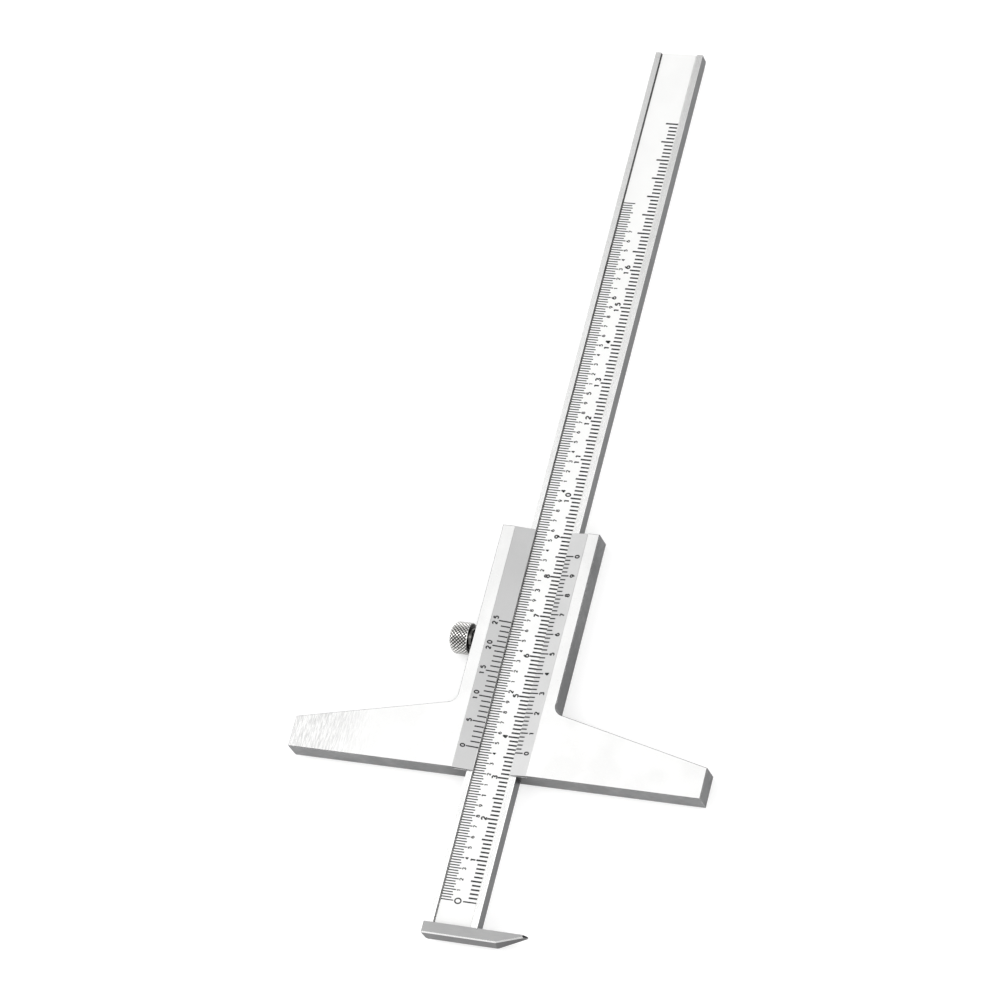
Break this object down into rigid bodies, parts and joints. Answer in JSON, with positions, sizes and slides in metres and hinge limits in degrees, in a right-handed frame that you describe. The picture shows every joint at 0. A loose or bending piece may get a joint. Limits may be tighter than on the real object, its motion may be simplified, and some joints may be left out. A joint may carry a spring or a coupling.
{
  "type": "vernier depth gauge",
  "caption": "Vernier depth gauge: T-shaped measuring base and slider frame, a graduated sliding beam with a hooked foot, bevelled vernier plates and a knurled lock screw.",
  "frame": {"origin": "where the beam's centreline meets the measuring face of the base, in the plane of its back face", "axes": "+X along the base towards the hook's nose, +Y up the beam away from the hook, +Z out of the graduated face; the gauge lies on its back"},
  "size_m": [0.1, 0.2279, 0.0075],
  "materials": {
    "ground_steel": "fine ground stainless steel",
    "satin_plate": "satin grey with black filled graduations",
    "satin_chrome": "satin chromed steel with black filled graduations",
    "foot_steel": "ground hardened steel",
    "nickel_knob": "nickel plated, diamond knurled",
    "screw_steel": "turned steel",
    "spring_steel": "bright spring strip",
    "brass": "plain machined brass"
  },
  "bodies": {
    "base": {"base_frame": "ground_steel", "inch_vernier_plate": "satin_plate", "metric_vernier_plate": "satin_plate", "inch_plate_screws": "screw_steel", "metric_plate_screws": "screw_steel", "gib_strip": "brass", "leaf_spring": "spring_steel"},
    "beam": {"main_beam": "satin_chrome", "hook_foot": "foot_steel", "hook_pins": "screw_steel", "beam_stop_screw": "screw_steel"},
    "clamp_pad": {"clamp_pad": "brass"},
    "lock_screw": {"lock_stud": "screw_steel", "lock_knob": "nickel_knob"}
  },
  "joints": [
    {"name": "beam_slide", "type": "slide", "parent": "base", "child": "beam", "axis": [0, 1, 0], "range_m": [-0.1144, 0.0364]},
    {"name": "pad_travel", "type": "slide", "parent": "base", "child": "clamp_pad", "axis": [-1, 0, 0], "range_m": [0, 0.00067]},
    {"name": "lock_screw_turn", "type": "hinge", "parent": "clamp_pad", "child": "lock_screw", "pos_m": [-0.0139, 0.0324, 0.00315], "axis": [-1, 0, 0], "range_deg": [0, 540]}
  ],
  "couplings": [
    {"joint": "lock_screw_turn", "follows": "pad_travel", "rad_per_m": 13963}
  ]
}
